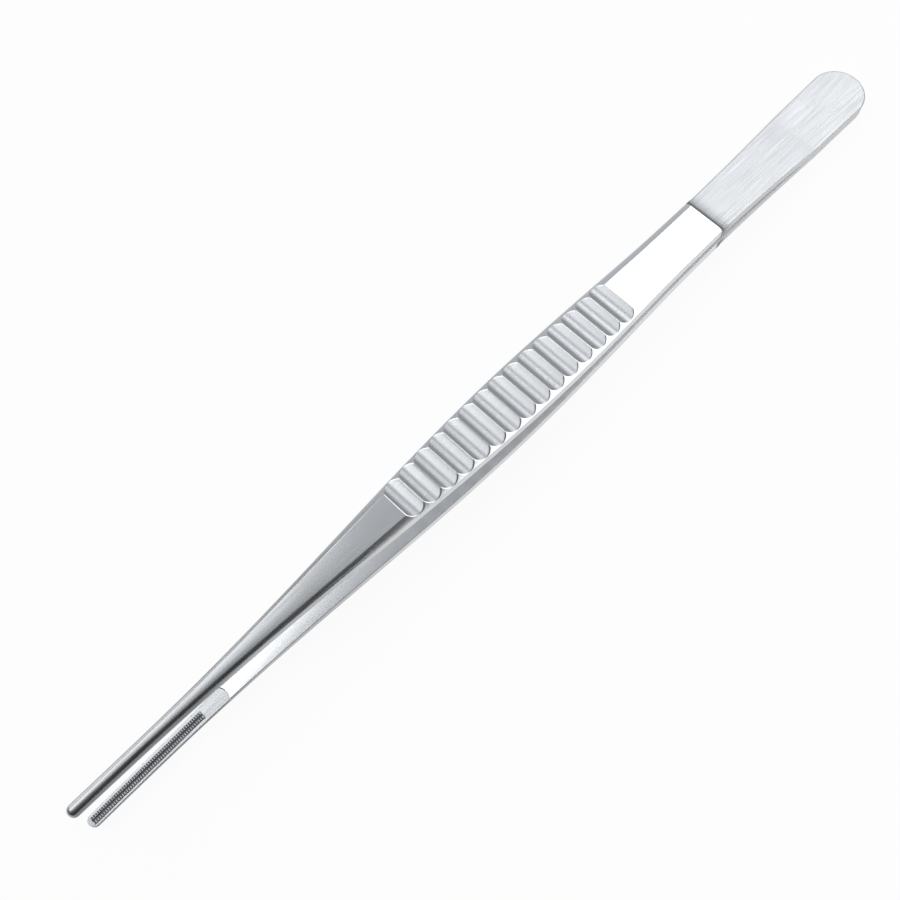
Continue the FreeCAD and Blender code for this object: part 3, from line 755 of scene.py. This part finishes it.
def satin_steel():
    """Ground and brushed stainless steel, with its lines along the forceps."""
    material = bpy.data.materials.new("satin stainless steel")
    material.use_nodes = True
    tree = material.node_tree
    flat_map = add_node(tree, "ShaderNodeUVMap", {"uv_map": "along"})
    stretch = (MAP_SCALE / LINE_LENGTH, MAP_SCALE / LINE_SPACING, 1.0)
    place = add_node(tree, "ShaderNodeMapping", {"Scale": stretch}, {"Vector": flat_map.outputs["UV"]})
    lines = add_node(tree, "ShaderNodeTexNoise", {"Scale": 1.0, "Detail": 2.0}, {"Vector": place.outputs["Vector"]})
    hollow, finish, shade = (
        add_node(tree, "ShaderNodeAttribute", {"attribute_name": name}).outputs["Fac"]
        for name in ("hollow", "finish", "shade")
    )
    colour = add_node(tree, "ShaderNodeMix", {"data_type": "RGBA"}, {0: shade})
    colour.inputs[6].default_value = linear(PAINTED_LIGHT_STEEL)
    colour.inputs[7].default_value = linear(DARK_STEEL)
    streak = add_node(tree, "ShaderNodeMapRange", STREAKS, {"Value": lines.outputs["Fac"]})
    rough = add_node(tree, "ShaderNodeMath", {"operation": "MULTIPLY"}, {0: finish, 1: streak.outputs["Result"]})
    spread = add_node(tree, "ShaderNodeMapRange", {"To Min": BRUSHED_SPREAD, "To Max": HOLLOW_SPREAD},
                      {"Value": hollow})
    strength = add_node(tree, "ShaderNodeMapRange", {"To Min": BRUSHED_BUMP, "To Max": HOLLOW_BUMP},
                        {"Value": hollow})
    bump = add_node(tree, "ShaderNodeBump", {"Distance": LINE_DEPTH},
                    {"Height": lines.outputs["Fac"], "Strength": strength.outputs["Result"]})
    tangent = add_node(tree, "ShaderNodeTangent", {"direction_type": "UV_MAP", "uv_map": "along"})
    shader = tree.nodes["Principled BSDF"]
    shader.inputs["Metallic"].default_value = 1.0
    shader.inputs["Anisotropic Rotation"].default_value = ACROSS_THE_LINES
    tree.links.new(colour.outputs[2], shader.inputs["Base Color"])
    tree.links.new(rough.outputs["Value"], shader.inputs["Roughness"])
    tree.links.new(spread.outputs["Result"], shader.inputs["Anisotropic"])
    tree.links.new(tangent.outputs["Tangent"], shader.inputs["Tangent"])
    tree.links.new(bump.outputs["Normal"], shader.inputs["Normal"])
    return material


steel = satin_steel()
for piece in arms.values():
    piece.data.materials.append(steel)
print("steel", steel.name, "on", [piece.name for piece in arms.values()])

# %% [markdown]
# The table is a smooth white board. To the lens and in the steel it is paper white, whatever the lamps do, because a
# product photographer exposes for that; a part of its look still comes from the light that falls on it, and so it
# keeps the soft shadow of the forceps.

# %% Table
TABLE_SIZE = 6.0
BOARD_COLOUR = "#f6f6f6"
BOARD_FINISH, BOARD_GLOSS = 0.9, 0.1
OWN_WHITE = 0.93


def white_board():
    """A matt white board, which a lens and a mirror see nearly white."""
    material = bpy.data.materials.new("white table board")
    material.use_nodes = True
    tree = material.node_tree
    shader = tree.nodes["Principled BSDF"]
    shader.inputs["Base Color"].default_value = linear(BOARD_COLOUR)
    shader.inputs["Roughness"].default_value = BOARD_FINISH
    shader.inputs["Specular IOR Level"].default_value = BOARD_GLOSS
    paper = add_node(tree, "ShaderNodeEmission", {"Color": linear("#ffffff"), "Strength": 1.0})
    path = add_node(tree, "ShaderNodeLightPath")
    seen = add_node(tree, "ShaderNodeMath", {"operation": "MAXIMUM", 0: 0.0},
                    {0: path.outputs["Is Camera Ray"], 1: path.outputs["Is Glossy Ray"]})
    share = add_node(tree, "ShaderNodeMath", {"operation": "MULTIPLY", 1: OWN_WHITE}, {0: seen.outputs["Value"]})
    mixed = add_node(tree, "ShaderNodeMixShader", {},
                     {0: share.outputs["Value"], 1: shader.outputs["BSDF"], 2: paper.outputs["Emission"]})
    tree.links.new(mixed.outputs["Shader"], tree.nodes["Material Output"].inputs["Surface"])
    return material


bpy.ops.mesh.primitive_plane_add(size=TABLE_SIZE, location=(0, 0, 0))
table = bpy.context.object
table.name = "table"
table.data.materials.append(white_board())
print("table", TABLE_SIZE, "m wide")

# %% [markdown]
# Steel has no colour of its own to speak of: it shows the room. Four soft boxes light it, all at one distance, and
# each leans so many degrees towards the jaws and so many towards the near side, which is where the camera stands. A
# long one over the tail makes the pad and the shank white. A wide one over the jaws and the far side lights the
# crests. Two low ones, one near the tail on the near side and one behind the jaws, reach the inner faces and the
# far bevels. A brightness of 1 is as bright as white paper.

# %% Soft boxes
LAMP_DISTANCE = 1.1
WATTS_FOR_WHITE = 4


def soft_box(name, over_jaws, over_near, width, height, brightness):
    """A rectangular lamp that faces the forceps. It leans over the jaws and over the near side by so many degrees."""
    along, across = math.radians(over_jaws), math.radians(over_near)
    back = Vector((math.sin(along) * math.cos(across), math.sin(across), math.cos(along) * math.cos(across)))
    right = Vector((math.cos(along), 0.0, -math.sin(along)))
    turn = Matrix((right, back.cross(right), back)).transposed().to_4x4()
    lamp = bpy.data.objects.new(name, bpy.data.lights.new(name, "AREA"))
    lamp.data.shape = "RECTANGLE"
    lamp.data.size = width
    lamp.data.size_y = height
    lamp.data.energy = WATTS_FOR_WHITE * width * height * brightness
    lamp.matrix_world = Matrix.Translation(back * LAMP_DISTANCE) @ turn
    bpy.context.scene.collection.objects.link(lamp)
    print(name, [round(value, 2) for value in lamp.location])
    return lamp


soft_box("soft box over the tail", -42, 17, 0.6, 1.7, 1.55)
soft_box("soft box over the jaws", 17, -31, 1.0, 0.62, 1.48)
soft_box("low box near the tail", -65, 66, 0.9, 0.4, 1.0)
soft_box("low box behind the jaws", 65, -74, 0.9, 0.35, 1.1)

# %% [markdown]
# The rest of the light is the room. It is light on the far side, where the window is, and dark on the near side,
# where the photographer stands, and that darkness draws the deep lines down the near flank of the arms. The list
# gives the brightness from far (-1) to near (1). It is half as much again towards the tail, and half as much towards
# the jaws. The lens itself sees a plain pale backdrop where the table ends.

# %% Room
ROOM_COLOUR = "#eef2f6"
BACKDROP_COLOUR = "#fafafa"
FAR_TO_NEAR = (
    (-1.0, 0.6), (-0.6, 0.6), (-0.17, 0.52), (0.0, 0.36),
    (0.2, 0.2), (0.4, 0.1), (0.62, 0.05), (1.0, 0.03),
)
TOWARDS_TAIL = 0.5


def room():
    """A room that is light on the far side and dark on the near side, and lighter over the tail."""
    world = bpy.data.worlds.new("room")
    world.use_nodes = True
    tree = world.node_tree
    background = tree.nodes["Background"]
    background.inputs["Color"].default_value = linear(ROOM_COLOUR)
    direction = add_node(tree, "ShaderNodeTexCoord")
    parts = add_node(tree, "ShaderNodeSeparateXYZ", {}, {0: direction.outputs["Generated"]})
    near = add_node(tree, "ShaderNodeMapRange", {"From Min": -1.0, "From Max": 1.0}, {"Value": parts.outputs["Y"]})
    ramp = add_node(tree, "ShaderNodeValToRGB", {}, {0: near.outputs["Result"]})
    stops = ramp.color_ramp.elements
    while len(stops) < len(FAR_TO_NEAR):
        stops.new(0.5)
    for stop, (place, level) in zip(stops, FAR_TO_NEAR):
        stop.position = (place + 1) / 2
        stop.color = (level, level, level, 1.0)
    tail = add_node(tree, "ShaderNodeMapRange",
                    {"From Min": -1.0, "From Max": 1.0, "To Min": 1 + TOWARDS_TAIL, "To Max": 1 - TOWARDS_TAIL},
                    {"Value": parts.outputs["X"]})
    light = add_node(tree, "ShaderNodeMath", {"operation": "MULTIPLY"},
                     {0: ramp.outputs["Color"], 1: tail.outputs["Result"]})
    tree.links.new(light.outputs["Value"], background.inputs["Strength"])
    backdrop = add_node(tree, "ShaderNodeBackground", {"Color": linear(BACKDROP_COLOUR), "Strength": 1.0})
    path = add_node(tree, "ShaderNodeLightPath")
    seen = add_node(tree, "ShaderNodeMixShader", {},
                    {0: path.outputs["Is Camera Ray"], 1: background.outputs["Background"],
                     2: backdrop.outputs["Background"]})
    tree.links.new(seen.outputs["Shader"], tree.nodes["World Output"].inputs["Surface"])
    return world


bpy.context.scene.world = room()
bpy.context.scene.view_settings.view_transform = "Standard"
print("room from far to near", [level for place, level in FAR_TO_NEAR])
